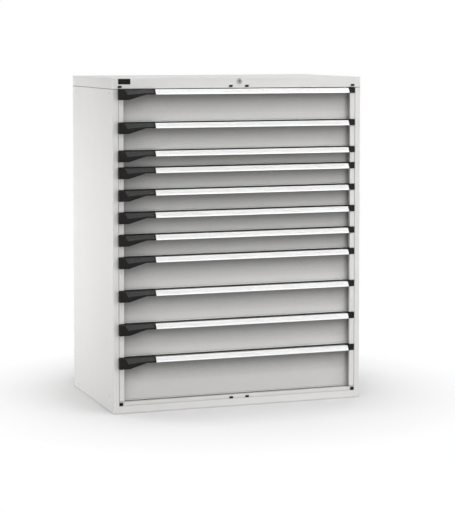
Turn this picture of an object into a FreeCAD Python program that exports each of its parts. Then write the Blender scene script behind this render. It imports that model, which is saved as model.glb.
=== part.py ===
import FreeCAD, Part
import math
import os

os.makedirs("parts", exist_ok=True)

# A workshop drawer cabinet in folded sheet steel, with eleven drawers. All sizes are in
# millimetres. While the pieces are made, x is 0 in the middle and grows to the right, y is 0
# on the front face of the corner posts and grows to the rear, and z is 0 on the floor.
# save() then shifts the depth, so that the origin lies under the middle of the whole cabinet.

# Shell
width = 1190.0
depth = 700.0
base_height = 53.0  # floor to the lower edge of the drawer opening
top_rail = 47.0  # upper edge of the opening to the top of the cover
shell = 1.5  # sheet of the sides, the cover and the base
post_face = 25.0  # front of a side panel, folded to a corner post
post_return = 25.0
rear_flange = 22.0
rear_sheet = 1.2
seam_drop = 2.0  # the cover meets the sides this far below the opening's upper edge
seam_bevel = 0.8  # bent edges along the seam of the cover and the sides
tie_flange = 20.0  # turned-in edges that carry the cover on the sides
tie_start = 64.0
tie_end_gap = 40.0
cover_radius = 2.0
rear_gap = 0.5  # rear panel to the sides
past = 1.0  # cuts run past a face by this much
near = 0.1  # edges this close to a level are taken to lie on it
pin_flats = 8

# Front rail of the cover
rail_turn = 26.0
rail_upturn = 28.0
eyebrow = 3.5  # small forward bead along the lower edge of the rail
eyebrow_reach = 0.8

# Base
sill_drop = 18.0  # lower edge of the drawer opening to the fold of the plinth
sill_step = 2.5
foot_flange = 30.0
deck_drop = 1.5

# Drawers, from the top one down
drawer_heights = [150.0, 125.0, 75.0, 100.0, 100.0, 100.0, 100.0, 150.0, 150.0, 150.0, 200.0]
side_gap = 2.0  # corner post to drawer front
strip_face = 22.5  # flush strip at each end of a drawer front
recess = 22.0  # front panel behind the strips
drawer_sheet = 1.2
front_top_gap = 2.0
front_bottom_gap = 1.5
sill_gap = 3.5  # lowest drawer front to the base
strip_turn = 9.0
strip_groove = 0.5
panel_drop = 8.0
lip_height = 4.5
lip_reach = 2.0
crease = 1.2
tray_length = 617.0
tray_floor_gap = 4.0
rim_drop = 14.0
shoulder_drop = 3.5  # the sides stay high just behind the front and then slope down
shoulder_start = 64.0
shoulder_end = 96.0
hem = 8.0

# Runners, hung in slots of the uprights
runner_inset = 4.0  # runner wall behind the edge of the corner post
runner_drop = 28.0  # drawer line to the top of its runner
runner_height = 34.0
runner_sheet = 1.5
runner_clear = 3.3  # runner flange to the side of the drawer
runner_start = 8.0
tray_rail_clear = 1.5
glide = 1.5
glide_inset = 1.0
slide_gap = 0.3
stop_sheet = 1.5
hook_reach = 4.5
hook_height = 12.0
hook_drop = 4.0
hook_thick = 2.0
hook_inset = 15.0  # hook behind the front face of its upright
strike_height = 8.0
strike_width = 8.0
strike_depth = 4.0  # striking tab behind the front end of the runner
upright_width = 44.0
upright_lip = 12.0
upright_front = 70.0
upright_rear = 556.0
slot_gap = 0.5

# Aluminium handle rail, whose face leans out towards its lower edge
handle_reach = 21.0
handle_crown = 9.0  # reach of the handle along its upper edge
handle_top = 4.0
handle_fall = 18.7
handle_wall = 1.8
handle_skin = 2.4  # wall behind the label channel
handle_lip = 3.5
handle_lip_turn = 8.0
label_edge = 2.2
label_depth = 0.6
handle_flange = 16.0

# Moulded ends of the handle
end_top = 1.5
end_gap = 0.5  # moulded end to the edge of the corner post
end_front = 20.5
end_wall = 1.6
end_length = 168.8
end_height = 48.1
block_top = 21.2  # width of the block beside the thumb lever, along its upper edge
block_slant = 18.4
block_foot = 44.0
skirt_end = 123.0
skirt_height = 24.5
lever_fall = 28.5
far_end_reach = 35.0  # the plate over the flush strip, with the wall that closes the handle
far_end_top = 1.0
far_end_height = 27.0
far_end_thick = 5.0
far_end_corner = 2.5
far_end_inset = 0.5
far_end_wall = 3.0
far_end_nose = 7.5

# Thumb lever
lever_wall = 2.2
lever_gap = 0.4
block_gap = 1.8  # the pad slides down past the slanted edge as it is pressed
pad_rear = 1.2
lever_round = 1.0  # the lever stands proud by this much at the left
lever_pivot_y = 5.0
lever_pivot_drop = 8.2
lever_pin = 2.0  # radius of its round corners
lever_pin_flat = 1.6  # half of its square
pivot_gap = 0.08
ear_wall = 2.4
cheek_wall = 7.4  # right end of the moulding, beside the aluminium
ear_reach = 3.2
divider_depth = 0.6
tail_offset = 5.0  # lever tail to the left end of the moulded end
tail_width = 6.0
tail_height = 4.0
tail_top = 13.0
tail_back = 2.2  # lever bar to the front of the drawer
tail_thick = 2.4
lug_low = 17.0
lug_high = 6.0
lug_thick = 2.6
tooth_gap = 1.0
tooth_depth = 4.0
window_gap = 1.0

# Central lock
lock_drop = 17.0  # cover's top face to the lock
lock_ring = 13.0
lock_proud = 2.0
case_side = 17.6
case_gap = 0.2
case_end = 28.0
bore_flats = 16
ring_flats = 32
core_radius = 8.0
core_inset = 0.4
core_gap = 0.06
keyway_width = 2.0
keyway_height = 9.0
keyway_depth = 7.0
cam_radius = 12.0
cam_half_turn = 45.0
cam_sheet = 3.0
cam_width = 10.0
lock_pin = 2.5  # across the corners of its eight flats
pin_play = 0.6
link_sheet = 3.0
link_step = 1.0
slider_height = 19.0
slider_end = 20.0
slider_low = 18.0  # lock's axis to the lower edge of the slider
crank_rise = 5.0  # opening's upper edge to the pivot of the crank
crank_arm = 20.0
crank_lift = 16.5
crank_width = 9.0
crank_pivot = 3.0
guide_start = 120.0  # lock to the first guide of the slider
guide_end = 80.0  # second guide of the slider to the crank
guide_block = 3.0  # half of a square guide
guide_play = 0.3
bar_width = 18.0
bar_edge = 8.0  # outer face of the cabinet to the edge of the locking bar
bar_foot = 34.0
stop_height = 8.0
stop_overlap = 7.0  # how far a stop reaches in front of a drawer's lug
stop_thick = 3.0
stop_drop = 18.0
lug_drop = 4.0
lug_height = 10.0
lug_sheet = 2.0
lug_clear = 2.0
lug_foot = 16.0
lug_tip_gap = 4.0  # locking bar to the tip of a drawer's lug
guide_drop = 60.0
guide_sheet = 2.0
guide_height = 20.0
guide_foot = 10.0
guide_gap = 2.0

# Small trim
plug_width = 17.0
plug_height = 9.0
plug_foot_height = 13.5  # lower plugs at the corners
plug_proud = 1.0
plug_shank = 5.0
shank_inset = 2.0
plug_slant = 3.0
plug_fit = 0.3
plug_rise = 8.5
plug_fall = 12.0
plug_foot_fall = 9.5
plug_corner = 35.5
plug_middle = 38.5
plug_shift = 2.8  # the upper plugs lie this far to the left
badge_width = 56.0
badge_height = 24.0
badge_left = 25.6
badge_drop = 3.6
badge_thick = 1.0
badge_corner = 1.6

# Levels and edges that follow from the sizes above
opening_top = base_height + sum(drawer_heights)
height = opening_top + top_rail
plinth_height = base_height - sill_drop
seam = opening_top - seam_drop
half = width / 2.0
front_shift = (handle_reach - depth) / 2.0
post_edge = post_face
strip_edge = post_face + side_gap
panel_edge = strip_edge + strip_face
tray_side = panel_edge - drawer_sheet
tray_front = recess + drawer_sheet
tray_rear = tray_front + tray_length
upright_face = post_face + runner_inset
runner_tip = tray_side - runner_clear
runner_web = upright_face + runner_sheet
runner_end = tray_rear + slide_gap + stop_sheet
end_left = post_face + end_gap
handle_left = end_left + end_length + lever_gap
handle_right = strip_edge + far_end_reach
lock_z = height - lock_drop
slider_y = case_end + cam_sheet + 2.0 * link_step
crank_y = slider_y + link_sheet + link_step
bar_y = crank_y + link_sheet + link_step
lug_y = bar_y + lug_clear
cam_swing = cam_radius * math.sin(math.radians(cam_half_turn))
crank_half_turn = math.degrees(math.asin(cam_swing / crank_arm))
bar_lift = 2.0 * crank_lift * math.sin(math.radians(crank_half_turn))
crank_z = opening_top + crank_rise
bar_middle = bar_edge + bar_width / 2.0
bar_inner = bar_edge + bar_width
crank_edge = bar_middle + crank_lift * (1.0 + math.cos(math.radians(crank_half_turn))) / 2.0
deck = base_height - deck_drop

# Upper line of each drawer, and the line below it
drawer_lines = []
line = opening_top
for drawer_height in drawer_heights:
    drawer_lines.append((line, line - drawer_height))
    line = line - drawer_height


def at_left(edge):
    """x of a place that lies a given distance inside the cabinet's left face."""
    return edge - half


def block(x0, x1, y0, y1, z0, z1):
    return Part.makeBox(x1 - x0, y1 - y0, z1 - z0, FreeCAD.Vector(x0, y0, z0))


def prism_x(points, x0, x1):
    """A prism along x of an outline of (y, z) points."""
    corners = [FreeCAD.Vector(x0, y, z) for y, z in points]
    face = Part.Face(Part.makePolygon(corners + corners[:1]))
    return face.extrude(FreeCAD.Vector(x1 - x0, 0, 0))


def prism_y(points, y0, y1):
    """A prism along y of an outline of (x, z) points."""
    corners = [FreeCAD.Vector(x, y0, z) for x, z in points]
    face = Part.Face(Part.makePolygon(corners + corners[:1]))
    return face.extrude(FreeCAD.Vector(0, y1 - y0, 0))


def prism_z(points, z0, z1):
    """A prism along z of an outline of (x, y) points."""
    corners = [FreeCAD.Vector(x, y, z0) for x, y in points]
    face = Part.Face(Part.makePolygon(corners + corners[:1]))
    return face.extrude(FreeCAD.Vector(0, 0, z1 - z0))


def rod_y(radius, y0, y1, x, z):
    return Part.makeCylinder(radius, y1 - y0, FreeCAD.Vector(x, y0, z), FreeCAD.Vector(0, 1, 0))


def folded(path, sheet):
    """Outline of a folded sheet: the path is one face of it, and the sheet lies to its left."""
    legs = []
    for (a0, b0), (a1, b1) in zip(path, path[1:]):
        size = math.hypot(a1 - a0, b1 - b0)
        legs.append(((b0 - b1) / size, (a1 - a0) / size))
    other = []
    for i, (a, b) in enumerate(path):
        before = legs[max(i - 1, 0)]
        after = legs[min(i, len(legs) - 1)]
        stretch = sheet / (1.0 + before[0] * after[0] + before[1] * after[1])
        other.append((a + (before[0] + after[0]) * stretch, b + (before[1] + after[1]) * stretch))
    return path + other[::-1]


def flat_sided(radius, x, z, sides):
    """Outline of a pin with flats about a centre, with its corners at the radius."""
    step = 2.0 * math.pi / sides
    turns = [(i + 0.5) * step for i in range(sides)]
    return [(x + radius * math.cos(turn), z + radius * math.sin(turn)) for turn in turns]


def flat_bore(radius, x, z, sides):
    """Outline of a bore with flats, in which a pin of the radius turns."""
    return flat_sided(radius / math.cos(math.pi / sides), x, z, sides)


def faceted(sections):
    """A solid through outlines of equally many points, with flat triangles from one to the next."""
    wires = [Part.makePolygon(sections[0][::-1] + sections[0][-1:])]
    wires.append(Part.makePolygon(sections[-1] + sections[-1][:1]))
    for first, second in zip(sections, sections[1:]):
        for i in range(len(first)):
            j = (i + 1) % len(first)
            wires.append(Part.makePolygon([first[i], first[j], second[j], first[i]]))
            wires.append(Part.makePolygon([first[i], second[j], second[i], first[i]]))
    shell_of_faces = Part.makeShell([Part.Face(wire) for wire in wires])
    return Part.makeSolid(shell_of_faces).removeSplitter()


def edges_above(body, level):
    """Edges of a body whose middle lies above a level."""
    found = []
    for edge in body.Edges:
        middle = edge.valueAt((edge.FirstParameter + edge.LastParameter) / 2.0)
        if middle.z > level:
            found.append(edge)
    return found


def outer_edges(body, level):
    """Edges at one level that lie on the outside of the cabinet."""
    found = []
    for edge in body.Edges:
        middle = edge.valueAt((edge.FirstParameter + edge.LastParameter) / 2.0)
        outside = abs(middle.x) > half - near or middle.y < near or middle.y > depth - near
        if outside and abs(middle.z - level) < near:
            found.append(edge)
    return found


def mirrored(shape):
    """The same piece at the other side of the cabinet."""
    return shape.mirror(FreeCAD.Vector(0, 0, 0), FreeCAD.Vector(1, 0, 0))


def save(name, solids):
    """Writes one sub-part, in the frame whose origin lies under the middle of the cabinet."""
    group = Part.makeCompound(solids)
    group.translate(FreeCAD.Vector(0, front_shift, 0))
    group.exportStep("parts/" + name + ".step")


def fuse(first, *others):
    return first.multiFuse(list(others)).removeSplitter()


def side_panel():
    """The left side: the front edge is folded to a corner post, the rear edge to a flange."""
    path = [
        (at_left(post_edge), post_return),
        (at_left(post_edge), 0.0),
        (at_left(0.0), 0.0),
        (at_left(0.0), depth),
        (at_left(rear_flange), depth),
    ]
    panel = prism_z(folded(path, -shell), 0.0, seam)
    panel = panel.makeChamfer(seam_bevel, outer_edges(panel, seam))
    tie = block(at_left(shell), at_left(tie_flange), tie_start, depth - tie_end_gap, seam - shell, seam)
    return fuse(panel, tie)


def rear_panel():
    edge = half - shell - rear_gap
    return block(-edge, edge, depth - shell - rear_sheet, depth - shell, shell, seam - shell)


def plug_places():
    """Middle of each small plug, as x and z, with its height and the slant of its head."""
    upper = opening_top + plug_rise
    lower = base_height - plug_fall
    foot = base_height - plug_foot_fall
    corner = half - plug_corner
    places = []
    for x in (-corner, -plug_middle, plug_middle, corner):
        places.append((x - plug_shift, upper, plug_height, plug_slant))
        if abs(x) < corner:
            places.append((x, lower, plug_height, 0.0))
        else:
            places.append((x, foot, plug_foot_height, 0.0))
    return places


def plug_outline(x, z, tall, slant, margin):
    half_width = plug_width / 2.0 + margin
    half_height = tall / 2.0 + margin
    return [
        (x - half_width - slant / 2.0, z - half_height),
        (x + half_width - slant / 2.0, z - half_height),
        (x + half_width + slant / 2.0, z + half_height),
        (x - half_width + slant / 2.0, z + half_height),
    ]


def plug_slots(upper):
    """Openings in the front rails for the shanks of the plugs."""
    slots = []
    for x, z, tall, slant in plug_places():
        if (slant > 0.0) == upper:
            outline = plug_outline(x, z, tall, slant, plug_fit - shank_inset)
            slots.append(prism_y(outline, -past, sill_step + 2.0 * shell))
    return slots


def top_cover():
    """A folded lid whose front skirt is the upper rail of the drawer opening."""
    body = block(-half, half, 0.0, depth, seam, height)
    body = body.makeFillet(cover_radius, edges_above(body, height - near))
    body = body.makeChamfer(seam_bevel, outer_edges(body, seam))
    inside = block(shell - half, half - shell, shell, depth - shell, seam - past, height - shell)
    body = body.cut(inside)
    opening = half - post_edge
    body = body.cut(block(-opening, opening, -past, 2.0 * shell, seam - past, opening_top))
    turn_path = [(shell, opening_top), (rail_turn, opening_top), (rail_turn, opening_top + rail_upturn)]
    turn = prism_x(folded(turn_path, shell), -opening, opening)
    bead = prism_x(
        [
            (0.0, opening_top),
            (-eyebrow_reach, opening_top),
            (-eyebrow_reach, opening_top + eyebrow_reach),
            (0.0, opening_top + eyebrow),
        ],
        -opening,
        opening,
    )
    tie = block(at_left(shell), at_left(tie_flange), tie_start, depth - tie_end_gap, seam, seam + shell)
    body = fuse(body, turn, bead, tie, mirrored(tie), *slider_guides())
    reach = case_side / 2.0 + case_gap
    body = body.cut(block(-reach, reach, -past, rail_turn + past, lock_z - reach, lock_z + reach))
    for slot in plug_slots(True):
        body = body.cut(slot)
    return body


def base_frame():
    """The plinth: front rail with its sill, deck under the lowest drawer and foot flange."""
    edge = half - post_edge
    rear = depth - shell - rear_sheet
    body = block(-edge, edge, sill_step + shell, rear, 0.0, deck)
    hollow = block(shell - edge, edge - shell, sill_step + 2.0 * shell, rear - shell, shell, deck - shell)
    foot_edge = edge - foot_flange
    foot = block(-foot_edge, foot_edge, foot_flange, rear - foot_flange, -past, 2.0 * shell)
    body = body.cut(hollow).cut(foot)
    front_path = [
        (sill_step + shell, 0.0),
        (0.0, 0.0),
        (0.0, plinth_height),
        (sill_step, plinth_height),
        (0.0, base_height),
        (post_return, base_height),
        (post_return, deck - shell),
    ]
    front = prism_x(folded(front_path, -shell), -edge, edge)
    wing = block(at_left(shell), at_left(post_edge), post_return, rear, deck - shell, deck)
    body = fuse(body, front, wing, mirrored(wing))
    for slot in plug_slots(False):
        body = body.cut(slot)
    return body


def upright(front):
    """A channel welded inside the left side. The runners hang in its slots."""
    rear = front + upright_width
    web = upright_face - shell
    path = [
        (at_left(shell), front - upright_lip),
        (at_left(shell), front),
        (at_left(web), front),
        (at_left(web), rear),
        (at_left(shell), rear),
        (at_left(shell), rear + upright_lip),
    ]
    channel = prism_z(folded(path, -shell), deck, seam - 2.0 * shell)
    slot_front = front + hook_inset - slot_gap
    slot_rear = front + hook_inset + hook_thick + slot_gap
    slots = []
    for upper, lower in drawer_lines:
        middle = upper - runner_drop - runner_height / 2.0
        reach = hook_height / 2.0 + slot_gap
        x0 = at_left(web - shell)
        x1 = at_left(upright_face + shell)
        slots.append(block(x0, x1, slot_front, slot_rear, middle - reach, middle + reach))
    return channel.cut(Part.makeCompound(slots))


def runner(upper, striker):
    """A channel for one side of a drawer, with hooks for the uprights and a stop at its rear."""
    top = upper - runner_drop
    bottom = top - runner_height
    outline = [
        (at_left(runner_tip), bottom),
        (at_left(runner_tip), bottom + runner_sheet),
        (at_left(runner_web), bottom + runner_sheet),
        (at_left(runner_web), top - runner_sheet),
        (at_left(runner_tip), top - runner_sheet),
        (at_left(runner_tip), top),
        (at_left(upright_face), top),
        (at_left(upright_face), bottom),
    ]
    channel = prism_y(outline, runner_start, runner_end)
    face = at_left(upright_face)
    pieces = [block(face, at_left(runner_tip), runner_end - stop_sheet, runner_end, bottom, top)]
    hook_top = top - runner_height / 2.0 + hook_height / 2.0
    behind = face - shell - slide_gap
    for front in (upright_front, upright_rear):
        hook = [
            (face, hook_top),
            (face - hook_reach, hook_top),
            (face - hook_reach, hook_top - hook_height),
            (behind, hook_top - hook_height),
            (behind, hook_top - hook_height + hook_drop),
            (face, hook_top - hook_height + hook_drop),
        ]
        start = front + hook_inset
        pieces.append(prism_y(hook, start, start + hook_thick))
    if striker:
        x0 = at_left(end_left + tail_offset)
        y0 = runner_start + strike_depth
        z0 = top - runner_sheet
        pieces.append(block(x0, x0 + strike_width, y0, y0 + runner_sheet, z0, top + strike_height))
    return fuse(channel, *pieces)


def glide_strips(upper):
    """Plastic strips inside the two flanges of a runner."""
    top = upper - runner_drop - runner_sheet
    bottom = upper - runner_drop - runner_height + runner_sheet
    x0 = at_left(runner_web)
    x1 = at_left(runner_tip - glide_inset)
    y1 = runner_end - stop_sheet
    return [
        block(x0, x1, runner_start, y1, top - glide, top),
        block(x0, x1, runner_start, y1, bottom, bottom + glide),
    ]


def drawer_front(upper, lower):
    """Folded front of a drawer: flush strips at its ends and a panel set back between them."""
    top = upper - front_top_gap
    bottom = lower + (front_bottom_gap if lower > base_height else sill_gap)
    left = [
        (at_left(strip_edge), strip_turn),
        (at_left(strip_edge), 0.0),
        (at_left(panel_edge), 0.0),
        (at_left(panel_edge), recess),
    ]
    right = [(-x, y) for x, y in left[::-1]]
    body = prism_z(folded(left + right, drawer_sheet), bottom, top)
    inner = half - panel_edge
    lip = prism_x(
        [
            (recess, bottom),
            (recess - lip_reach, bottom),
            (recess - lip_reach, bottom + lip_height - lip_reach),
            (recess, bottom + lip_height),
        ],
        -inner,
        inner,
    )
    line_z = bottom + lip_height
    cuts = [
        block(-inner, inner, recess - past, tray_front + past, upper - panel_drop, top + past),
        block(-inner, inner, recess - past, recess + drawer_sheet / 2.0, line_z, line_z + crease),
    ]
    for middle in (at_left(strip_edge + strip_face / 2.0), -at_left(strip_edge + strip_face / 2.0)):
        cuts.append(block(middle - strip_groove, middle + strip_groove, -past, strip_groove, bottom, top))
    x0 = at_left(end_left + tail_offset - window_gap)
    x1 = x0 + tail_width + 2.0 * window_gap
    z0 = upper - tail_top - tail_height - 2.0 * window_gap - tooth_gap
    cuts.append(block(x0, x1, -past, 2.0 * drawer_sheet, z0, upper - tail_top + window_gap))
    return fuse(body, lip).cut(Part.makeCompound(cuts))


def drawer_tray(upper, lower):
    """Folded tray behind the front: floor, rear wall and two sides that slope down to the rim."""
    floor = lower + tray_floor_gap
    rim = upper - rim_drop
    shoulder = upper - shoulder_drop
    profile = [
        (tray_front, floor),
        (tray_rear, floor),
        (tray_rear, rim),
        (shoulder_end, rim),
        (shoulder_start, shoulder),
        (tray_front, shoulder),
    ]
    outer = half - tray_side
    inner = half - panel_edge
    body = prism_x(profile, -outer, outer)
    rear = tray_rear - drawer_sheet
    hollow = block(-inner, inner, tray_front - past, rear, floor + drawer_sheet, upper)
    body = body.cut(hollow)
    side_hem = block(-inner, drawer_sheet - inner, shoulder_end, rear, rim - hem, rim)
    return fuse(body, side_hem, mirrored(side_hem))


def tray_rail(upper):
    """Channel on the left side of a tray that runs between the glide strips."""
    top = upper - runner_drop - runner_sheet - glide - slide_gap
    bottom = upper - runner_drop - runner_height + runner_sheet + glide + slide_gap
    web = tray_side - runner_sheet
    tip = runner_web + tray_rail_clear
    outline = [
        (at_left(tray_side), bottom),
        (at_left(tip), bottom),
        (at_left(tip), bottom + runner_sheet),
        (at_left(web), bottom + runner_sheet),
        (at_left(web), top - runner_sheet),
        (at_left(tip), top - runner_sheet),
        (at_left(tip), top),
        (at_left(tray_side), top),
    ]
    return prism_y(outline, tray_front, tray_rear)


def lock_lug(upper):
    """Angle on the right side of a tray. The locking bar stops it when the lock is turned."""
    top = upper - lug_drop
    tip = half - bar_inner - lug_tip_gap
    side = half - tray_side
    outline = [
        (tip, lug_y),
        (side, lug_y),
        (side, lug_y + lug_foot),
        (side + lug_sheet, lug_y + lug_foot),
        (side + lug_sheet, lug_y + lug_sheet),
        (tip, lug_y + lug_sheet),
    ]
    return prism_z(outline, top - lug_height, top)


def handle_rail(upper):
    """Extruded handle: leaning face with a channel for labels, lower lip and fixing flange."""
    run = handle_reach - handle_crown
    lean = math.hypot(run, handle_fall)
    top = upper - handle_top
    low = top - handle_fall
    underside = top - handle_wall
    floor = low - handle_lip + handle_wall

    def face(distance, sink):
        y = -handle_crown - run / lean * distance + handle_fall / lean * sink
        z = top - handle_fall / lean * distance - run / lean * sink
        return (y, z)

    def inner(z):
        return (-handle_crown - (top - z) * run / handle_fall + handle_skin * lean / handle_fall, z)

    points = [
        (-handle_crown, top),
        face(label_edge, 0.0),
        face(label_edge, label_depth),
        face(lean - label_edge, label_depth),
        face(lean - label_edge, 0.0),
        (-handle_reach, low),
        (-handle_reach, low - handle_lip),
        (handle_lip_turn - handle_reach, low - handle_lip),
        (handle_lip_turn - handle_reach, floor),
        inner(floor),
        inner(underside),
        (recess - handle_wall, underside),
        (recess - handle_wall, top - handle_flange),
        (recess, top - handle_flange),
        (recess, top),
    ]
    return prism_x(points, at_left(handle_left), half - handle_right)


def lever_line(edge):
    """Upper end, run and fall of the thumb lever's face at a distance from the cabinet's left."""
    lean = 1.0 - min(max((edge - end_left) / skirt_end, 0.0), 1.0)
    start = handle_crown + lever_round * lean
    fall = handle_fall + (lever_fall - handle_fall) * lean
    return (-start, lever_round * lean - handle_top, handle_reach - start, fall)


def lever_depth(edge, drop, sink):
    """y of the lever's face, sunk by some depth, at a drop below the drawer's upper line."""
    y, z, run, fall = lever_line(edge)
    return y - (z + drop) * run / fall + sink * math.hypot(run, fall) / fall


def lever_wedge(upper, sink, reach):
    """The space in front of the thumb lever's face, for cutting, a little past the moulded end."""
    low = -end_front - reach
    sections = []
    for edge in (end_left, end_left + skirt_end, end_left + end_length + past):
        y, z, run, fall = lever_line(edge)
        start = lever_depth(edge, -z, sink)
        outline = [
            (low, z + (low - start) * fall / run),
            (start + (reach - z) * run / fall, reach),
            (low, reach),
        ]
        sections.append([FreeCAD.Vector(at_left(edge), a, upper + b) for a, b in outline])
    return faceted(sections)


def beside_block(upper, shift):
    """Everything to the right of the slanted edge between the block and the thumb lever."""
    top_x = at_left(end_left + block_top + shift)
    far = at_left(end_left + end_length + 2.0 * past)
    slope = block_slant / lever_fall
    low = end_height + recess
    points = [
        (top_x - recess * slope, upper + recess),
        (top_x + low * slope, upper - low),
        (far, upper - low),
        (far, upper + recess),
    ]
    return prism_y(points, -end_front - recess, recess)


def lever_bore(upper, x0, x1):
    """Space with eight flats on the axis of the thumb lever."""
    outline = flat_bore(lever_pin + pivot_gap, lever_pivot_y, upper - lever_pivot_drop, pin_flats)
    return prism_x(outline, x0, x1)


def pivot_pin(upper, x0, x1):
    """Square pin with round corners on the axis of the thumb lever."""
    z = upper - lever_pivot_drop
    pin = Part.makeCylinder(lever_pin, x1 - x0, FreeCAD.Vector(x0, lever_pivot_y, z), FreeCAD.Vector(1, 0, 0))
    flat = lever_pin_flat
    return pin.common(block(x0, x1, lever_pivot_y - flat, lever_pivot_y + flat, z - flat, z + flat))


def handle_end(upper):
    """Moulded left end of the handle: hollow block, skirt and bearings for the thumb lever."""
    left = at_left(end_left)
    top = upper - end_top
    bottom = top - end_height
    right = left + end_length
    split = left + block_foot
    outline = [
        (left, top),
        (left, bottom),
        (split, bottom),
        (left + skirt_end, top - skirt_height),
        (right, top - skirt_height),
        (right, top),
    ]
    body = prism_y(outline, -end_front, 0.0)
    roof = block(at_left(panel_edge) + slide_gap, right, -past, recess, top - end_wall, top)
    cheek = block(right - cheek_wall, right, -past, recess, top - skirt_height, top)
    in_front = lever_wedge(upper, 0.0, past).common(beside_block(upper, 0.0))
    body = fuse(body, roof, cheek).cut(in_front)
    inner = end_wall - end_front
    room = block(left + end_wall, split + past, inner, past, bottom + end_wall, top - end_wall)
    under = block(split, right - cheek_wall, inner, recess + past, bottom - past, top - end_wall)
    body = body.cut(room).cut(under)
    divider = beside_block(upper, -end_wall).cut(beside_block(upper, 0.0))
    divider = divider.common(prism_y(outline, -end_front, 0.0))
    divider = divider.common(lever_wedge(upper, divider_depth, past))
    ear_x = at_left(end_left + block_top + block_slant)
    pivot_z = upper - lever_pivot_drop
    y0 = lever_pivot_y - ear_reach
    y1 = lever_pivot_y + ear_reach
    ear = block(ear_x, ear_x + ear_wall, y0, y1, pivot_z - ear_reach, top - end_wall)
    bore = lever_bore(upper, ear_x - past, right - cheek_wall + ear_wall)
    return fuse(body, divider, ear).cut(bore)


def thumb_lever(upper):
    """Thumb lever in the left end: pad, two pivot pins and a tail that hooks on the runner."""
    left = at_left(end_left)
    right = left + end_length - cheek_wall
    front = end_wall + lever_gap - end_front
    ceiling = upper - end_top - end_wall - lever_gap
    skin = lever_wedge(upper, lever_wall, past).cut(lever_wedge(upper, 0.0, 2.0 * past))
    space = block(left, right - lever_gap, front, pad_rear, upper - end_height, ceiling)
    pad = skin.common(beside_block(upper, block_gap)).common(space)
    ear_x = at_left(end_left + block_top + block_slant)
    left_lug = ear_x + ear_wall + lever_gap
    right_lug = right - lever_gap - lug_thick
    pivot_z = upper - lever_pivot_drop
    pieces = []
    for x in (left_lug, right_lug):
        edge = x + half
        outline = [
            (lever_depth(edge, lug_low, lever_wall / 2.0), upper - lug_low),
            (-tail_back, upper - lug_low),
            (lever_pivot_y + lever_pin, pivot_z - lever_pin),
            (lever_pivot_y + lever_pin, pivot_z + lever_pin),
            (lever_depth(edge, lug_high, lever_wall / 2.0), upper - lug_high),
        ]
        pieces.append(prism_x(outline, x, x + lug_thick))
    pieces.append(pivot_pin(upper, ear_x + slide_gap, left_lug))
    pieces.append(pivot_pin(upper, right_lug + lug_thick, right + ear_wall - slide_gap))
    tail_x = left + tail_offset
    tail_z = upper - tail_top
    tail_low = tail_z - tail_height
    tooth_front = runner_start + strike_depth + runner_sheet + tooth_gap
    tooth_rear = tooth_front + tooth_depth
    tooth_low = upper - runner_drop + strike_height + tooth_gap
    front = -tail_back - tail_thick
    pieces.append(block(tail_x, left_lug, front, -tail_back, tail_low, tail_z))
    pieces.append(block(tail_x, tail_x + tail_width, -tail_back, tooth_rear, tail_low, tail_z))
    pieces.append(block(tail_x, tail_x + tail_width, tooth_front, tooth_rear, tooth_low, tail_low))
    return fuse(pad, *pieces)


def far_end(upper):
    """Moulded right end: plate over the flush strip, wall that closes the handle, and roof."""
    x1 = half - strip_edge - far_end_inset
    x0 = half - handle_right + lever_gap
    z1 = upper - far_end_top
    z0 = z1 - far_end_height
    corner = far_end_corner
    face = [(x0, z0), (x1, z0), (x1, z1 - corner), (x1 - corner, z1), (x0, z1)]
    plate = prism_y(face, -far_end_thick, 0.0)
    side = [
        (recess, z1),
        (-far_end_nose, z1),
        (-end_front, upper - handle_top - handle_fall),
        (-end_front, z0),
        (0.0, z0),
        (recess, upper - handle_top - handle_flange),
    ]
    wall = prism_x(side, x0, x0 + far_end_wall)
    roof = block(x0, half - panel_edge - slide_gap, -past, recess, z1 - end_wall, z1)
    return fuse(plate, wall, roof)


def lock_housing():
    """Ring and case of the lock, held in the front rail."""
    ring = prism_y(flat_sided(lock_ring, 0.0, lock_z, ring_flats), -lock_proud, 0.0)
    reach = case_side / 2.0
    case = block(-reach, reach, 0.0, case_end, lock_z - reach, lock_z + reach)
    outline = flat_bore(core_radius + core_gap, 0.0, lock_z, bore_flats)
    bore = prism_y(outline, -lock_proud - past, case_end + past)
    return fuse(ring, case).cut(bore)


def lock_cylinder():
    """Core of the lock with its keyway, and the cam behind it with the pin for the slider."""
    start = case_end + link_step
    core = rod_y(core_radius, core_inset - lock_proud, start, 0.0, lock_z)
    wide = keyway_width / 2.0
    tall = keyway_height / 2.0
    keyway = block(-wide, wide, -lock_proud, keyway_depth, lock_z - tall, lock_z + tall)
    low = cam_radius + lock_pin + link_step
    wide = cam_width / 2.0
    cam = block(-wide, wide, start, start + cam_sheet, -low, wide)
    cam.rotate(FreeCAD.Vector(0, 0, 0), FreeCAD.Vector(0, 1, 0), -cam_half_turn)
    cam.translate(FreeCAD.Vector(0, 0, lock_z))
    pin_z = lock_z - cam_radius * math.cos(math.radians(cam_half_turn))
    outline = flat_sided(lock_pin, cam_swing, pin_z, pin_flats)
    pin = prism_y(outline, start, slider_y + link_sheet + link_step / 2.0)
    return fuse(core.cut(keyway), cam, pin)


def crank_x():
    return half - crank_edge


def slider_guide_places():
    """x of the two blocks that guide the slider."""
    return (guide_start, crank_x() - guide_end)


def slider_guides():
    """Guide blocks of the slider and the pivot of the crank, on the turned-up edge of the rail."""
    middle = lock_z - slider_low + slider_height / 2.0
    rear = slider_y + link_sheet + link_step / 2.0
    reach = guide_block
    pieces = []
    for x in slider_guide_places():
        pieces.append(block(x - reach, x + reach, rail_turn - shell, rear, middle - reach, middle + reach))
    pivot_end = crank_y + link_sheet + link_step / 2.0
    pieces.append(rod_y(crank_pivot, rail_turn - shell, pivot_end, crank_x(), crank_z))
    return pieces


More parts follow.
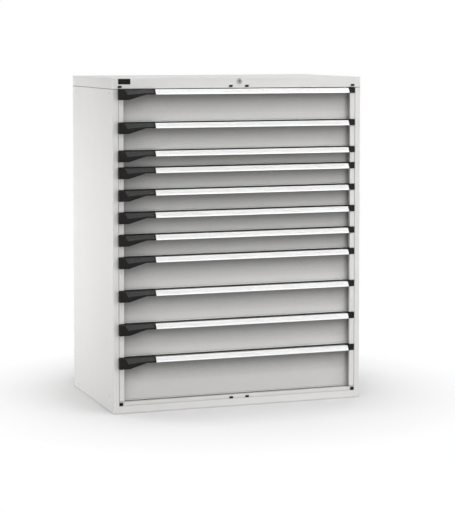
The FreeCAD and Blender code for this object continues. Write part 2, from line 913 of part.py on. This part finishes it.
def lock_slider():
    """Flat bar that carries the turn of the lock to the crank at the right."""
    z0 = lock_z - slider_low
    z1 = z0 + slider_height
    rear = slider_y + link_sheet
    end_x = crank_x() + cam_swing
    reach = lock_pin + pin_play
    cam_high = lock_z - cam_radius * math.cos(math.radians(cam_half_turn)) + reach
    cam_low = lock_z - cam_radius - reach
    crank_low = crank_z + crank_arm * math.cos(math.radians(crank_half_turn)) - reach
    crank_high = crank_z + crank_arm + reach
    body = block(cam_swing - slider_end, end_x + slider_end / 2.0, slider_y, rear, z0, z1)
    cuts = [
        block(cam_swing - reach, cam_swing + reach, slider_y - past, rear + past, cam_low, cam_high),
        block(end_x - reach, end_x + reach, slider_y - past, rear + past, crank_low, crank_high),
    ]
    wide = guide_block + guide_play
    middle = (z0 + z1) / 2.0
    for x in slider_guide_places():
        x1 = x + wide + 2.0 * cam_swing
        cuts.append(block(x - wide, x1, slider_y - past, rear + past, middle - wide, middle + wide))
    return body.cut(Part.makeCompound(cuts))


def lock_crank():
    """Angled crank that turns the slider's travel into the lift of the locking bar."""
    turn = math.radians(crank_half_turn)
    x = crank_x()
    rear = crank_y + link_sheet
    top = (x + crank_arm * math.sin(turn), crank_z + crank_arm * math.cos(turn))
    side = (x + crank_lift * math.cos(turn), crank_z - crank_lift * math.sin(turn))
    wide = crank_width / 2.0
    pieces = []
    quarter = 90.0
    for length, angle in ((crank_arm, quarter - crank_half_turn), (crank_lift, -crank_half_turn)):
        arm = block(-wide, length + wide, crank_y, rear, -wide, wide)
        arm.rotate(FreeCAD.Vector(0, 0, 0), FreeCAD.Vector(0, 1, 0), -angle)
        arm.translate(FreeCAD.Vector(x, 0, crank_z))
        pieces.append(arm)
    pieces.append(prism_y(flat_sided(lock_pin, *top, pin_flats), slider_y - link_step / 2.0, crank_y))
    side_end = bar_y + link_sheet + link_step / 2.0
    pieces.append(prism_y(flat_sided(lock_pin, *side, pin_flats), rear, side_end))
    hole = flat_bore(crank_pivot + core_gap, x, crank_z, pin_flats)
    return fuse(*pieces).cut(prism_y(hole, crank_y - past, rear + past))


def guide_levels():
    """Height of each stud that guides the locking bar."""
    last = len(drawer_lines) - 1
    return [drawer_lines[i][0] - guide_drop for i in (0, (last + 1) // 2, last)]


def locking_bar():
    """Upright bar behind the right corner post, with a stop for each drawer."""
    middle = half - bar_middle
    rear = bar_y + link_sheet
    turn = math.radians(crank_half_turn)
    pin_z = crank_z - crank_lift * math.sin(turn)
    bottom = guide_levels()[-1] - bar_foot
    bar = block(half - bar_inner, half - bar_edge, bar_y, rear, bottom, pin_z + crank_width)
    reach = lock_pin + pin_play
    near = crank_x() + crank_lift * math.cos(turn) - reach
    far = crank_x() + crank_lift + reach
    bar = bar.cut(block(near, far, bar_y - past, rear + past, pin_z - reach, pin_z + reach))
    wide = guide_block + guide_play
    for level in guide_levels():
        low = level - wide - bar_lift
        bar = bar.cut(block(middle - wide, middle + wide, bar_y - past, rear + past, low, level + wide))
    solids = [bar]
    tip = half - bar_inner - lug_tip_gap - stop_overlap
    for upper, lower in drawer_lines:
        top = upper - stop_drop
        solids.append(block(tip, middle, bar_y - stop_thick, bar_y, top - stop_height, top))
    return solids


def bar_guides():
    """Angles on the right side panel, each with a block that guides the locking bar."""
    rear = bar_y + link_sheet + guide_gap
    side = half - shell
    reach = guide_block
    middle = half - bar_middle
    solids = []
    for level in guide_levels():
        outline = [
            (side, rear),
            (half - bar_inner + guide_gap, rear),
            (half - bar_inner + guide_gap, rear + guide_sheet),
            (side - guide_sheet, rear + guide_sheet),
            (side - guide_sheet, rear + guide_foot),
            (side, rear + guide_foot),
        ]
        angle = prism_z(outline, level - guide_height / 2.0, level + guide_height / 2.0)
        front = bar_y - link_step / 2.0
        guide = block(middle - reach, middle + reach, front, rear, level - reach, level + reach)
        solids.append(fuse(angle, guide))
    return solids


def plugs():
    """Small moulded plugs in the front rails. The lower ones bear on the slanted sill."""
    solids = []
    for x, z, tall, slant in plug_places():
        seat = 0.0
        if z < base_height:
            seat = sill_step * (base_height - z - tall / 2.0) / sill_drop
        head = prism_y(plug_outline(x, z, tall, slant, 0.0), seat - plug_proud, seat)
        shank = prism_y(plug_outline(x, z, tall, slant, -shank_inset), seat, seat + plug_shank)
        solids.append(fuse(head, shank))
    return solids


def badge_plate():
    """Bare plate with cut corners at the left of the cover's front."""
    z1 = height - badge_drop
    z0 = z1 - badge_height
    x0 = at_left(badge_left)
    x1 = x0 + badge_width
    cut = badge_corner
    outline = [(x0 + cut, z0), (x1 - cut, z0), (x1, z0 + cut), (x1, z1 - cut)]
    outline = outline + [(x1 - cut, z1), (x0 + cut, z1), (x0, z1 - cut), (x0, z0 + cut)]
    return prism_y(outline, -badge_thick, 0.0)


save("side_panel_left", [side_panel()])
save("side_panel_right", [mirrored(side_panel())])
save("rear_panel", [rear_panel()])
save("top_cover", [top_cover()])
save("base_frame", [base_frame()])
left_uprights = [upright(upright_front), upright(upright_rear)]
save("uprights", left_uprights + [mirrored(u) for u in left_uprights])
left_runners = [runner(upper, True) for upper, lower in drawer_lines]
right_runners = [mirrored(runner(upper, False)) for upper, lower in drawer_lines]
save("runners", left_runners + right_runners)
strips = []
for upper, lower in drawer_lines:
    strips = strips + glide_strips(upper)
save("glide_strips", strips + [mirrored(strip) for strip in strips])
save("plugs", plugs())
save("badge_plate", [badge_plate()])
save("lock_housing", [lock_housing()])
save("lock_cylinder", [lock_cylinder()])
save("lock_slider", [lock_slider()])
save("lock_crank", [lock_crank()])
save("locking_bar", locking_bar())
save("bar_guides", bar_guides())
for number, (upper, lower) in enumerate(drawer_lines, 1):
    name = "%02d" % number
    rail = tray_rail(upper)
    body = [drawer_front(upper, lower), drawer_tray(upper, lower), rail, mirrored(rail), lock_lug(upper)]
    save("drawer_" + name, body)
    save("handle_rail_" + name, [handle_rail(upper)])
    save("handle_ends_" + name, [handle_end(upper), far_end(upper)])
    save("thumb_lever_" + name, [thumb_lever(upper)])
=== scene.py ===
import math

import bmesh
import bpy
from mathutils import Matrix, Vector


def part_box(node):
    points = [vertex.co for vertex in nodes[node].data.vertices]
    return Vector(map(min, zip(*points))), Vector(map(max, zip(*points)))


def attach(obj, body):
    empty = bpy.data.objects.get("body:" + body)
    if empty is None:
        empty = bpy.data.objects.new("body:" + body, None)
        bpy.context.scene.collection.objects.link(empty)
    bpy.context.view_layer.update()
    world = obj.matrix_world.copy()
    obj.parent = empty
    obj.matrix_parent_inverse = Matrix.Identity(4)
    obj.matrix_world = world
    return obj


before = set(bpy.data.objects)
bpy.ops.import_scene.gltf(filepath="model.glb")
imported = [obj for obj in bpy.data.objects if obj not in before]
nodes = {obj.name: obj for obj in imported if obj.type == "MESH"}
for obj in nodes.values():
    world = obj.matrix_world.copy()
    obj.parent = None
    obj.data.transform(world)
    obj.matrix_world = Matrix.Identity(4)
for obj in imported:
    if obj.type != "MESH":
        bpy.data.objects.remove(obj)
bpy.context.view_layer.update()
NUMBERS = sorted(name[-2:] for name in nodes if name.startswith("drawer_"))
MM = 0.001

# Places that the finishes and pieces below share, in metres
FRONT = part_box("side_panel_left")[0][1]  # front of the corner posts
RECESS = 22.0 * MM  # from there back to the sheet of a drawer front
SEAM = 1451.0 * MM  # height of the joint between cover and sides


# Node helpers

def node(tree, kind, inputs=None, **settings):
    """Adds a shader node. Inputs are numbers, colours or the sockets that feed them."""
    made = tree.nodes.new(kind)
    for key, value in settings.items():
        setattr(made, key, value)
    for key, value in (inputs or {}).items():
        if isinstance(value, bpy.types.NodeSocket):
            tree.links.new(value, made.inputs[key])
        else:
            made.inputs[key].default_value = value
    return made


def grey(level):
    return (level, level, level, 1.0)


def mix_colour(tree, share, first, second):
    made = node(tree, "ShaderNodeMix", data_type="RGBA")
    for socket, value in ((made.inputs[0], share), (made.inputs[6], first), (made.inputs[7], second)):
        if isinstance(value, bpy.types.NodeSocket):
            tree.links.new(value, socket)
        else:
            socket.default_value = value
    return made.outputs[2]


def spread(tree, value, low, high, to_low, to_high):
    """Maps a value from one range to another and holds it there."""
    inputs = {"Value": value, "From Min": low, "From Max": high, "To Min": to_low, "To Max": to_high}
    return node(tree, "ShaderNodeMapRange", inputs).outputs["Result"]


def calculate(tree, operation, first, second=0.0):
    return node(tree, "ShaderNodeMath", {0: first, 1: second}, operation=operation).outputs[0]


def object_place(tree):
    return node(tree, "ShaderNodeTexCoord").outputs["Object"]


def split(tree, vector):
    return node(tree, "ShaderNodeSeparateXYZ", {"Vector": vector}).outputs


def noise(tree, place, scale, detail):
    inputs = {"Vector": place, "Scale": scale, "Detail": detail}
    return node(tree, "ShaderNodeTexNoise", inputs).outputs["Fac"]


def openness(tree, reach, samples, **inputs):
    """How open the surroundings of a spot are, from 0 to 1, within a reach."""
    sockets = {"Distance": reach, **inputs}
    return node(tree, "ShaderNodeAmbientOcclusion", sockets, samples=samples).outputs["AO"]


def new_group(name, inputs, outputs):
    """A shader node group with named number inputs and named outputs."""
    group = bpy.data.node_groups.new(name, "ShaderNodeTree")
    for label, value in inputs.items():
        socket = group.interface.new_socket(label, in_out="INPUT", socket_type="NodeSocketFloat")
        socket.default_value = value
    for label, kind in outputs.items():
        group.interface.new_socket(label, in_out="OUTPUT", socket_type=kind)
    return group, group.nodes.new("NodeGroupInput"), group.nodes.new("NodeGroupOutput")


def placed_group(tree, group, **values):
    made = node(tree, "ShaderNodeGroup", node_tree=group)
    for label, value in values.items():
        made.inputs[label.replace("_", " ")].default_value = value
    return made


# Effects that several materials share. Their scales are in grains or lines per metre.

def make_powder_grain():
    """Fine orange peel of a powder coat, as a height, with a slow drift of tone over the sheet."""
    group, start, end = new_group(
        "powder grain",
        {"Grain Size": 900.0, "Drift Size": 2.2},
        {"Height": "NodeSocketFloat", "Drift": "NodeSocketFloat"},
    )
    place = object_place(group)
    group.links.new(noise(group, place, start.outputs["Grain Size"], 2.0), end.inputs["Height"])
    group.links.new(noise(group, place, start.outputs["Drift Size"], 3.0), end.inputs["Drift"])
    return group


def make_hand_marks():
    """Smudges left by hands and cloths, as a mask that mostly stays near nothing."""
    group, start, end = new_group("hand marks", {"Size": 14.0, "Amount": 0.5}, {"Mask": "NodeSocketFloat"})
    place = object_place(group)
    blots = noise(group, place, start.outputs["Size"], 5.0)
    fine = noise(group, place, 160.0, 3.0)
    worst = spread(group, calculate(group, "MULTIPLY", blots, fine), 0.22, 0.42, 0.0, 1.0)
    mask = calculate(group, "MULTIPLY", worst, start.outputs["Amount"])
    group.links.new(mask, end.inputs["Mask"])
    return group


def make_drawn_lines():
    """Long fine lines along x, as an extrusion or a drawn strip has them."""
    group, start, end = new_group(
        "drawn lines",
        {"Lines": 1400.0, "Stretch": 2.5},
        {"Height": "NodeSocketFloat"},
    )
    place = split(group, object_place(group))
    along = calculate(group, "MULTIPLY", place["X"], start.outputs["Stretch"])
    across = calculate(group, "MULTIPLY", place["Y"], start.outputs["Lines"])
    up = calculate(group, "MULTIPLY", place["Z"], start.outputs["Lines"])
    stretched = node(group, "ShaderNodeCombineXYZ", {"X": along, "Y": across, "Z": up})
    group.links.new(noise(group, stretched.outputs[0], 1.0, 3.0), end.inputs["Height"])
    return group


def make_moulded_grain():
    """Spark-eroded grain of moulded plastic, as a height and a mask of scuffed spots."""
    group, start, end = new_group(
        "moulded grain",
        {"Grain Size": 1500.0, "Scuff Size": 60.0},
        {"Height": "NodeSocketFloat", "Scuffs": "NodeSocketFloat"},
    )
    place = object_place(group)
    cells = node(group, "ShaderNodeTexVoronoi", {"Vector": place, "Scale": start.outputs["Grain Size"]})
    scuffs = noise(group, place, start.outputs["Scuff Size"], 6.0)
    group.links.new(cells.outputs["Distance"], end.inputs["Height"])
    group.links.new(spread(group, scuffs, 0.52, 0.7, 0.0, 1.0), end.inputs["Scuffs"])
    return group


def make_round_mark():
    """Round spot seen from the side, for flush fastener heads: a disc and the ring round it."""
    group, start, end = new_group(
        "round mark",
        {"Depth Place": 0.0, "Height Place": 0.0, "Radius": 0.003},
        {"Disc": "NodeSocketFloat", "Ring": "NodeSocketFloat"},
    )
    place = split(group, object_place(group))
    squares = []
    for axis, middle in (("Y", "Depth Place"), ("Z", "Height Place")):
        off = calculate(group, "SUBTRACT", place[axis], start.outputs[middle])
        squares.append(calculate(group, "MULTIPLY", off, off))
    distance = calculate(group, "SQRT", calculate(group, "ADD", *squares))
    share = calculate(group, "DIVIDE", distance, start.outputs["Radius"])
    disc = calculate(group, "LESS_THAN", share, 1.0)
    inner = calculate(group, "LESS_THAN", share, 0.72)
    group.links.new(disc, end.inputs["Disc"])
    group.links.new(calculate(group, "SUBTRACT", disc, inner), end.inputs["Ring"])
    return group


POWDER_GRAIN = make_powder_grain()
HAND_MARKS = make_hand_marks()
DRAWN_LINES = make_drawn_lines()
MOULDED_GRAIN = make_moulded_grain()
ROUND_MARK = make_round_mark()


# Materials

def new_material(name, **sockets):
    """A material with one Principled shader, whose plain values are set on its own sockets."""
    material = bpy.data.materials.new(name)
    material.use_nodes = True
    tree = material.node_tree
    shader = tree.nodes["Principled BSDF"]
    for label, value in sockets.items():
        shader.inputs[label.replace("_", " ")].default_value = value
    return material, tree, shader


def finish_with(tree, shader, tone, rough):
    tree.links.new(tone, shader.inputs["Base Color"])
    tree.links.new(rough, shader.inputs["Roughness"])


def bump(tree, shader, height, depth, strength):
    made = node(tree, "ShaderNodeBump", {"Height": height, "Distance": depth, "Strength": strength})
    tree.links.new(made.outputs["Normal"], shader.inputs["Normal"])


# Light grey of the powder coat, and the slightly darker grey that it drifts to
PAINT = (0.79, 0.782, 0.764, 1)
PAINT_LOW = (0.76, 0.752, 0.735, 1)
BLACK = grey(0.0)

# Flush fastener heads on the sides, as depth behind the posts' front and height, from the photograph
HEAD_RADIUS = 3.6 * MM
SIDE_MARKS = [
    (FRONT + 644.5 * MM, 1424.8 * MM),
    (FRONT + 52.0 * MM, 1434.0 * MM),
    (FRONT + 626.0 * MM, 25.0 * MM),
    (FRONT + 64.0 * MM, 73.0 * MM),
]

# Painted shade: the joint's dark line, and how far and how much the finish is darkened in corners where
# shade falls
SEAM_DARK, SEAM_END = 1.0 * MM, 1.9 * MM
SEAM_SHADE = 0.85
CORNER_REACH = 8.0 * MM
CORNER_SHADE = 0.5
# Painted shade on drawer fronts: how far and how much the sheet under each handle is darkened, and the
# depth and share by which the recessed sheet is darker
HANDLE_REACH = 110.0 * MM
HANDLE_SHADE = 0.7
STRIP_DEPTH = 12.0 * MM
SHEET_SHADE = 0.15


def shade_joints(tree, tone):
    """Painted shade: a thin dark line at the joint between cover and sides, where the joint is in shade,
    and a narrow painted shade in every corner.
    """
    height = split(tree, object_place(tree))["Z"]
    off = calculate(tree, "ABSOLUTE", calculate(tree, "SUBTRACT", height, SEAM))
    # painted shade of the joint, as a dark line along the seam's height
    line = spread(tree, off, SEAM_DARK, SEAM_END, SEAM_SHADE, 0.0)
    tone = mix_colour(tree, line, tone, grey(0.03))
    # painted shade in corners, darker where less of the surroundings is open
    shade = spread(tree, openness(tree, CORNER_REACH, 8), 0.4, 1.0, CORNER_SHADE, 0.0)
    return mix_colour(tree, shade, tone, BLACK)


def shade_drawer_front(tree, tone):
    """Painted shade: the sheet behind a drawer's end strips is a little darker, and most so under the
    handle above, where the handle's shadow falls.
    """
    depth = split(tree, object_place(tree))["Y"]
    sheet = FRONT + RECESS
    behind = spread(tree, depth, sheet - STRIP_DEPTH, sheet, 0.0, 1.0)
    # painted shade of the recess, over the whole sheet behind the end strips
    tone = mix_colour(tree, calculate(tree, "MULTIPLY", behind, SHEET_SHADE), tone, BLACK)
    # painted shadow under the handle, darker where less of the space above and in front is open
    upward = node(tree, "ShaderNodeCombineXYZ", {"X": 0.0, "Y": -0.64, "Z": 0.77}).outputs[0]
    above = openness(tree, HANDLE_REACH, 8, Normal=upward)
    shade = calculate(tree, "MULTIPLY", spread(tree, above, 0.2, 0.8, HANDLE_SHADE, 0.0), behind)
    return mix_colour(tree, shade, tone, BLACK)


def powder_coat(name, painted_shading, marks=()):
    """Light grey powder coat with its grain, hand marks and fastener heads, and the painted shade given.
    """
    material, tree, shader = new_material(name, IOR=1.5)
    grain = placed_group(tree, POWDER_GRAIN)
    smudge = placed_group(tree, HAND_MARKS, Amount=0.35).outputs["Mask"]
    tone = mix_colour(tree, grain.outputs["Drift"], PAINT, PAINT_LOW)
    tone = mix_colour(tree, calculate(tree, "MULTIPLY", smudge, 0.12), tone, grey(0.42))
    for depth_place, height_place in marks:
        spot = placed_group(
            tree,
            ROUND_MARK,
            Depth_Place=depth_place,
            Height_Place=height_place,
            Radius=HEAD_RADIUS,
        )
        tone = mix_colour(tree, spot.outputs["Disc"], tone, grey(0.36))
        tone = mix_colour(tree, spot.outputs["Ring"], tone, grey(0.10))
    # the painted shade that the caller gives darkens the colour here
    tone = painted_shading(tree, tone)
    rough = calculate(tree, "SUBTRACT", 0.52, calculate(tree, "MULTIPLY", smudge, 0.10))
    finish_with(tree, shader, tone, rough)
    bump(tree, shader, grain.outputs["Height"], 0.08 * MM, 0.55)
    return material


def extruded_aluminium():
    """Clear anodised aluminium with faint die lines along the handle."""
    material, tree, shader = new_material("anodised_aluminium", Metallic=1.0, Anisotropic=0.35)
    lines = placed_group(tree, DRAWN_LINES).outputs["Height"]
    smudge = placed_group(tree, HAND_MARKS, Amount=0.3).outputs["Mask"]
    tone = mix_colour(tree, lines, (0.62, 0.62, 0.625, 1), (0.66, 0.66, 0.66, 1))
    rough = spread(tree, lines, 0.3, 0.7, 0.38, 0.43)
    rough = calculate(tree, "ADD", rough, calculate(tree, "MULTIPLY", smudge, 0.1))
    finish_with(tree, shader, tone, rough)
    bump(tree, shader, lines, 0.02 * MM, 0.12)
    return material


def zinc_plate():
    """Bright zinc on rolled steel: pale blotches, faint rolling lines and a satin gloss."""
    material, tree, shader = new_material("zinc_plate", Metallic=1.0)
    lines = placed_group(tree, DRAWN_LINES, Lines=700.0, Stretch=12.0)
    drift = placed_group(tree, POWDER_GRAIN, Grain_Size=60.0, Drift_Size=18.0)
    tone = mix_colour(tree, drift.outputs["Drift"], (0.50, 0.52, 0.54, 1), (0.72, 0.73, 0.74, 1))
    finish_with(tree, shader, tone, spread(tree, drift.outputs["Height"], 0.3, 0.7, 0.30, 0.48))
    bump(tree, shader, lines.outputs["Height"], 0.03 * MM, 0.35)
    return material


def moulded_plastic(name, colour, scuffed, roughness, shine, grain_size=1500.0):
    """Moulded plastic with a fine grain, dull spots and slightly paler scuffs."""
    material, tree, shader = new_material(name, IOR=1.49, Specular_IOR_Level=shine)
    grain = placed_group(tree, MOULDED_GRAIN, Grain_Size=grain_size)
    scuffs = grain.outputs["Scuffs"]
    tone = mix_colour(tree, scuffs, colour, scuffed)
    finish_with(tree, shader, tone, spread(tree, scuffs, 0.0, 1.0, roughness, roughness + 0.12))
    bump(tree, shader, grain.outputs["Height"], 0.05 * MM, 0.4)
    return material


def lock_metal(name, colour, paler, roughness):
    """Satin metal of the lock's ring or core, turned in fine circles."""
    material, tree, shader = new_material(name, Metallic=1.0)
    low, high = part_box("lock_cylinder")
    axis = (0.0, (low[1] + high[1]) / 2.0, (low[2] + high[2]) / 2.0)
    shifted = node(tree, "ShaderNodeVectorMath", {0: object_place(tree), 1: axis}, operation="SUBTRACT")
    circles = node(
        tree,
        "ShaderNodeTexWave",
        {"Vector": shifted.outputs[0], "Scale": 700.0, "Distortion": 1.5},
        wave_type="RINGS",
        rings_direction="Y",
    ).outputs["Fac"]
    tone = mix_colour(tree, circles, colour, paler)
    finish_with(tree, shader, tone, spread(tree, circles, 0.0, 1.0, roughness, roughness + 0.1))
    bump(tree, shader, circles, 0.02 * MM, 0.3)
    return material


def label_card():
    """Plain white card in the handle's label channel, with a little fibre and drift."""
    material, tree, shader = new_material("label_card", Specular_IOR_Level=0.3)
    grain = placed_group(tree, POWDER_GRAIN, Grain_Size=2200.0, Drift_Size=6.0)
    tone = mix_colour(tree, grain.outputs["Drift"], (0.97, 0.97, 0.97, 1), (0.95, 0.95, 0.95, 1))
    finish_with(tree, shader, tone, spread(tree, grain.outputs["Height"], 0.3, 0.7, 0.5, 0.62))
    bump(tree, shader, grain.outputs["Height"], 0.02 * MM, 0.1)
    return material


def clear_cover():
    """Clear strip over the label card, with light rub marks. Little of it shows besides its gloss."""
    material, tree, shader = new_material("clear_cover", IOR=1.45, Alpha=0.10)
    smudge = placed_group(tree, HAND_MARKS, Size=30.0, Amount=0.2).outputs["Mask"]
    tone = mix_colour(tree, smudge, (0.96, 0.96, 0.96, 1), (0.90, 0.90, 0.905, 1))
    finish_with(tree, shader, tone, spread(tree, smudge, 0.0, 1.0, 0.16, 0.24))
    return material


cabinet_paint = powder_coat("cabinet_powder_coat", shade_joints)
side_paint = powder_coat("side_powder_coat", shade_joints, SIDE_MARKS)
drawer_paint = powder_coat("drawer_powder_coat", shade_drawer_front)
aluminium = extruded_aluminium()
zinc = zinc_plate()
end_plastic = moulded_plastic("end_plastic", grey(0.0075), grey(0.013), 0.42, 0.13)
lever_plastic = moulded_plastic("lever_plastic", grey(0.036), grey(0.05), 0.48, 0.2)
trim_plastic = moulded_plastic("trim_plastic", grey(0.007), grey(0.012), 0.38, 0.12)
glide_plastic = moulded_plastic(
    "glide_plastic", (0.78, 0.77, 0.72, 1), (0.7, 0.69, 0.64, 1), 0.38, 0.5, grain_size=900.0
)
lock_ring = lock_metal("lock_ring", (0.30, 0.30, 0.305, 1), (0.40, 0.40, 0.405, 1), 0.3)
lock_core = lock_metal("lock_core", (0.13, 0.13, 0.135, 1), (0.20, 0.20, 0.205, 1), 0.32)
card = label_card()
cover = clear_cover()

FINISHES = {
    "side_panel": side_paint,
    "rear_panel": cabinet_paint,
    "top_cover": cabinet_paint,
    "base_frame": cabinet_paint,
    "drawer_": drawer_paint,
    "handle_rail": aluminium,
    "handle_ends": end_plastic,
    "thumb_lever": lever_plastic,
    "plugs": trim_plastic,
    "badge_plate": trim_plastic,
    "glide_strips": glide_plastic,
    "lock_housing": lock_ring,
    "lock_cylinder": lock_core,
}
FOLDED = ("top_cover", "side_panel_left", "side_panel_right", "base_frame")
BEND_RADIUS = 0.5 * MM


def dress(name, shape):
    """Gives a node of the frame its finish; what isn't listed is zinc plated."""
    finish = zinc
    for start, material in FINISHES.items():
        if name.startswith(start):
            finish = material
    for slot in shape.material_slots:
        slot.material = finish


def soften_edges(shape, radius):
    """Small bend radius on the edges of folded sheet."""
    weld = shape.modifiers.new("joined", "WELD")
    weld.merge_threshold = 0.01 * MM
    bend = shape.modifiers.new("bend", "BEVEL")
    bend.width = radius
    bend.segments = 2
    bend.limit_method = "ANGLE"
    bend.angle_limit = math.radians(50.0)
    bend.use_clamp_overlap = True


for name, shape in nodes.items():
    dress(name, shape)
    if name in FOLDED:
        soften_edges(shape, BEND_RADIUS)


# Pieces that only the look needs

def new_piece(name, mesh, material, body):
    shape = bpy.data.objects.new(name, mesh)
    bpy.context.scene.collection.objects.link(shape)
    shape.data.materials.append(material)
    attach(shape, body)


def prism_along_x(name, points, x0, x1):
    """Mesh of an outline of (y, z) points drawn out along x."""
    mesh = bpy.data.meshes.new(name)
    work = bmesh.new()
    near = [work.verts.new((x0, y, z)) for y, z in points]
    far = [work.verts.new((x1, y, z)) for y, z in points]
    work.faces.new(near)
    work.faces.new(far[::-1])
    for i in range(len(points)):
        j = (i + 1) % len(points)
        work.faces.new((near[i], far[i], far[j], near[j]))
    bmesh.ops.recalc_face_normals(work, faces=work.faces)
    work.to_mesh(mesh)
    work.free()
    return mesh


# The handle's leaning face and the channel in it, as the rail's profile has them
CROWN = 9.0 * MM  # how far the top of the face stands in front of the posts
FALL = 18.7 * MM  # from the top of the face down to its foot
LIP = 2.3 * MM  # from each edge of the face to the label
END_GAP = 1.0 * MM
LABEL_LAYERS = (  # name, depth of its front and of its back below the face, finish
    ("card", 0.40 * MM, 0.58 * MM, card),
    ("cover", 0.02 * MM, 0.24 * MM, cover),
)


def label_strip(number):
    """White card under a clear strip, in the channel of one handle's leaning face."""
    low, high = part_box("handle_rail_" + number)
    crown = FRONT - CROWN
    run = crown - low[1]
    lean = math.hypot(run, FALL)

    def face(distance, sink):
        """Point at a distance down the face from its top, and sunk below it."""
        y = crown - run / lean * distance + FALL / lean * sink
        z = high[2] - FALL / lean * distance - run / lean * sink
        return (y, z)

    upper, lower = LIP, lean - LIP
    for label, outer, inner, material in LABEL_LAYERS:
        points = [face(upper, outer), face(lower, outer), face(lower, inner), face(upper, inner)]
        name = "label_%s_%s" % (label, number)
        mesh = prism_along_x(name, points, low[0] + END_GAP, high[0] - END_GAP)
        new_piece(name, mesh, material, "drawer_" + number)


for number in NUMBERS:
    label_strip(number)


# Floor and light

FLOOR_SIZE = 30.0
FLOOR_GREY = 0.80
FLOOR_GLOW = 0.20  # light that the open floor adds for the camera; under the cabinet it adds none, so its falling off paints shadow round the cabinet
SHADOW_REACH = 0.45
WHITE_FROM, WHITE_TO = 0.65, 1.3  # distance over which the floor goes over into white
ROOM_LIGHT = 0.03


def looked_at(tree):
    """Tells rays of the camera, of gloss and of glass from the rays that light the object."""
    path = node(tree, "ShaderNodeLightPath")
    straight = calculate(tree, "MAXIMUM", path.outputs["Is Camera Ray"], path.outputs["Is Glossy Ray"])
    return calculate(tree, "MAXIMUM", straight, path.outputs["Is Transmission Ray"])


def studio_floor():
    """Pale floor with the cabinet's soft shadow, which goes over into the white surroundings. The shadow
    is partly cast by the lamps and partly painted by a glow for the camera that fades near the cabinet.
    """
    mesh = bpy.data.meshes.new("floor")
    corners = [(x * FLOOR_SIZE, y * FLOOR_SIZE, 0.0) for x, y in ((-1, -1), (1, -1), (1, 1), (-1, 1))]
    mesh.from_pydata(corners, [], [(0, 1, 2, 3)])
    floor = bpy.data.objects.new("floor", mesh)
    bpy.context.scene.collection.objects.link(floor)
    material = bpy.data.materials.new("studio_floor")
    material.use_nodes = True
    tree = material.node_tree
    tree.nodes.clear()
    diffuse = node(tree, "ShaderNodeBsdfDiffuse", {"Color": grey(FLOOR_GREY)})
    # painted shadow: the glow falls off where less of the surroundings is open
    strength = spread(tree, openness(tree, SHADOW_REACH, 16), 0.4, 1.0, 0.0, FLOOR_GLOW)
    glow = node(tree, "ShaderNodeEmission", {"Color": grey(1.0), "Strength": strength})
    lit = node(tree, "ShaderNodeAddShader", {0: diffuse.outputs[0], 1: glow.outputs[0]})
    white = node(tree, "ShaderNodeEmission", {"Color": grey(1.0), "Strength": 1.0})
    place = object_place(tree)
    distance = node(tree, "ShaderNodeVectorMath", {0: place}, operation="LENGTH").outputs["Value"]
    fade = spread(tree, distance, WHITE_FROM, WHITE_TO, 0.0, 1.0)
    shown = node(tree, "ShaderNodeMixShader", {0: fade, 1: lit.outputs[0], 2: white.outputs[0]})
    choice = {0: looked_at(tree), 1: diffuse.outputs[0], 2: shown.outputs[0]}
    seen = node(tree, "ShaderNodeMixShader", choice)
    node(tree, "ShaderNodeOutputMaterial", {"Surface": seen.outputs[0]})
    mesh.materials.append(material)


def studio_world():
    """Pale surroundings that light the object softly and show as white to the camera and in gloss."""
    world = bpy.data.worlds.new("studio")
    bpy.context.scene.world = world
    world.use_nodes = True
    tree = world.node_tree
    tree.nodes.clear()
    strength = spread(tree, looked_at(tree), 0.0, 1.0, ROOM_LIGHT, 1.0)
    background = node(tree, "ShaderNodeBackground", {"Color": grey(1.0), "Strength": strength})
    node(tree, "ShaderNodeOutputWorld", {"Surface": background.outputs[0]})


MIDDLE = (0.0, 0.0, 0.6)
LAMPS = (  # name, place, aim, size in metres, power in watts
    ("high_front", (-6.6, -18.1, 18.4), MIDDLE, 13.0, 1460.0),
    ("steep_front", (0.0, -13.0, 23.5), MIDDLE, 13.0, 1130.0),
    ("high_right", (11.3, -4.1, 11.7), MIDDLE, 8.1, 240.0),
    ("low_right", (5.6, -6.6, 2.6), MIDDLE, 5.0, 265.0),
    ("from_floor", (0.6, -2.3, 0.2), (0.1, -0.34, 0.35), 1.6, 4.8),
    ("overhead", (0.0, -0.4, 9.0), (0.0, -0.4, 0.6), 4.0, 215.0),
    ("left_wall", (-2.6, 1.9, 0.6), (-0.5, 0.25, 0.65), 1.4, 50.0),
)


def soft_light(name, place, aim, size, power):
    """A square diffuser that the camera doesn't see."""
    lamp = bpy.data.lights.new(name, "AREA")
    lamp.size = size
    lamp.energy = power
    shape = bpy.data.objects.new(name, lamp)
    bpy.context.scene.collection.objects.link(shape)
    shape.location = place
    shape.rotation_euler = (Vector(aim) - Vector(place)).to_track_quat("-Z", "Y").to_euler()
    shape.visible_camera = False


# Camera at the photograph's place, solved from the cabinet's edges
CAMERA_PLACE = (-2.6998, -7.8358, 1.6484)
CAMERA_DOWN = 3.2966  # degrees
CAMERA_TURN = 19.4197
CAMERA_LENS = 123.78
CAMERA_SHIFT = -0.2150


def camera():
    lens = bpy.data.cameras.new("camera")
    lens.sensor_width = 36.0
    lens.lens = CAMERA_LENS
    lens.shift_y = CAMERA_SHIFT
    lens.clip_end = 200.0
    shape = bpy.data.objects.new("camera", lens)
    bpy.context.scene.collection.objects.link(shape)
    shape.location = CAMERA_PLACE
    shape.rotation_euler = (math.radians(90.0 - CAMERA_DOWN), 0.0, math.radians(-CAMERA_TURN))
    bpy.context.scene.camera = shape


studio_floor()
studio_world()
for lamp in LAMPS:
    soft_light(*lamp)
camera()

scene = bpy.context.scene
scene.view_settings.view_transform = "Standard"
